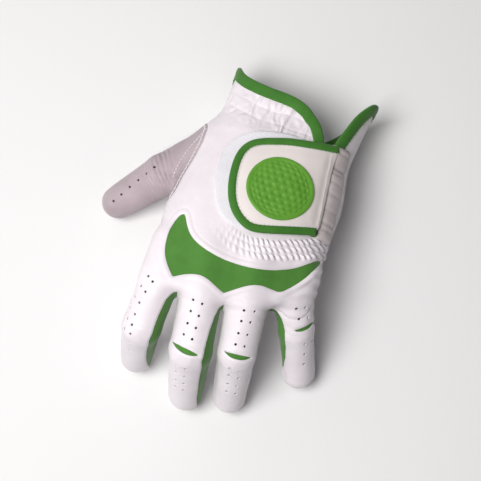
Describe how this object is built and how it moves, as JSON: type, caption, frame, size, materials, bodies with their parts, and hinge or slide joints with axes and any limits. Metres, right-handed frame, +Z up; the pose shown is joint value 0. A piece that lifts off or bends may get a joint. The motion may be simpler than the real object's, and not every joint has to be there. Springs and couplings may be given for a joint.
{
  "type": "golf glove",
  "caption": "Left-hand golf glove in perforated leather with green stretch knuckle panel, finger gussets, edge binding and an emblem on a hook-and-loop wrist tab.",
  "frame": {"origin": "centre of the glove's footprint box, at the height of the surface it lies on, palm down", "axes": "+X towards the little finger, +Y towards the wrist opening, +Z up out of the back of the hand"},
  "size_m": [0.1372, 0.184, 0.0652],
  "materials": {
    "white_leather": "soft satin glove leather",
    "tab_leather": "smooth satin leather",
    "thumb_leather": "soft satin glove leather, worn grey",
    "green_stretch": "matt stretch knit",
    "green_binding": "matt folded edge binding",
    "loop_pile": "matt loop pile under the leather",
    "hook_nylon": "matt hook tape",
    "emblem_green": "satin moulded patch",
    "white_lining": "satin",
    "white_elastic": "matt woven elastic",
    "label_woven": "matt woven label"
  },
  "bodies": {
    "hand": {"back_panel": "white_leather", "palm_panel": "white_leather", "knuckle_stretch_panel": "green_stretch", "cuff_binding_back": "green_binding", "cuff_binding_palm": "green_binding", "loop_pad": "loop_pile", "tab_root_strip": "white_lining", "back_elastic": "white_elastic", "cuff_elastic": "white_elastic", "palm_elastic": "white_elastic", "size_label": "label_woven", "thumb_root_panel": "thumb_leather"},
    "index_base": {"index_base_back": "white_leather", "index_base_gusset_outer": "green_stretch", "index_base_palm": "white_leather", "index_flex_insert": "white_leather"},
    "index_tip": {"index_tip_back": "white_leather", "index_tip_gusset_outer": "green_stretch", "index_tip_palm": "white_leather"},
    "middle_base": {"middle_base_back": "white_leather", "middle_base_gusset_outer": "green_stretch", "middle_base_palm": "white_leather", "middle_base_gusset_inner": "green_stretch", "middle_flex_insert": "green_stretch"},
    "middle_tip": {"middle_tip_back": "white_leather", "middle_tip_gusset_outer": "green_stretch", "middle_tip_palm": "white_leather", "middle_tip_gusset_inner": "green_stretch"},
    "ring_base": {"ring_base_back": "white_leather", "ring_base_gusset_outer": "green_stretch", "ring_base_palm": "white_leather", "ring_base_gusset_inner": "green_stretch", "ring_flex_insert": "green_stretch"},
    "ring_tip": {"ring_tip_back": "white_leather", "ring_tip_gusset_outer": "green_stretch", "ring_tip_palm": "white_leather", "ring_tip_gusset_inner": "green_stretch"},
    "little_base": {"little_base_back": "white_leather", "little_base_palm": "white_leather", "little_base_gusset_inner": "green_stretch", "little_flex_insert": "green_stretch"},
    "little_tip": {"little_tip_back": "white_leather", "little_tip_palm": "white_leather", "little_tip_gusset_inner": "green_stretch"},
    "thumb": {"thumb_tip_back": "thumb_leather", "thumb_tip_palm": "thumb_leather"},
    "closure_tab": {"tab_face": "tab_leather", "tab_lining": "white_lining", "tab_binding": "green_binding", "hook_pad": "hook_nylon", "tab_emblem": "emblem_green"}
  },
  "joints": [
    {"name": "index_knuckle_bend", "type": "hinge", "parent": "hand", "child": "index_base", "pos_m": [-0.02033, -0.04003, 0.04853], "axis": [0.9943, -0.1063, 0], "range_deg": [-18, 42]},
    {"name": "index_middle_bend", "type": "hinge", "parent": "index_base", "child": "index_tip", "pos_m": [-0.02218, -0.05735, 0.04213], "axis": [0.9943, -0.1063, 0], "range_deg": [-44, 32]},
    {"name": "middle_knuckle_bend", "type": "hinge", "parent": "hand", "child": "middle_base", "pos_m": [0.00191, -0.03766, 0.04832], "axis": [0.9932, 0.1167, 0], "range_deg": [-18, 42]},
    {"name": "middle_middle_bend", "type": "hinge", "parent": "middle_base", "child": "middle_tip", "pos_m": [0.0047, -0.06133, 0.04299], "axis": [0.9932, 0.1167, 0], "range_deg": [-44, 32]},
    {"name": "ring_knuckle_bend", "type": "hinge", "parent": "hand", "child": "ring_base", "pos_m": [0.02441, -0.03317, 0.04649], "axis": [0.994, 0.1097, 0], "range_deg": [-18, 42]},
    {"name": "ring_middle_bend", "type": "hinge", "parent": "ring_base", "child": "ring_tip", "pos_m": [0.02688, -0.05558, 0.0409], "axis": [0.994, 0.1097, 0], "range_deg": [-42, 32]},
    {"name": "little_knuckle_bend", "type": "hinge", "parent": "hand", "child": "little_base", "pos_m": [0.04532, -0.02087, 0.03858], "axis": [0.9143, 0.4051, 0], "range_deg": [-18, 42]},
    {"name": "little_middle_bend", "type": "hinge", "parent": "little_base", "child": "little_tip", "pos_m": [0.05103, -0.03373, 0.02985], "axis": [0.9143, 0.4051, 0], "range_deg": [-14, 45]},
    {"name": "thumb_bend", "type": "hinge", "parent": "hand", "child": "thumb", "pos_m": [-0.03769, 0.0221, 0.01854], "axis": [0.4478, -0.7525, 0.4829], "range_deg": [-15, 35]},
    {"name": "tab_lift", "type": "hinge", "parent": "hand", "child": "closure_tab", "pos_m": [0.04507, 0.03644, 0.04997], "axis": [-0.0901, 0.9817, -0.1679], "range_deg": [0, 150]}
  ]
}
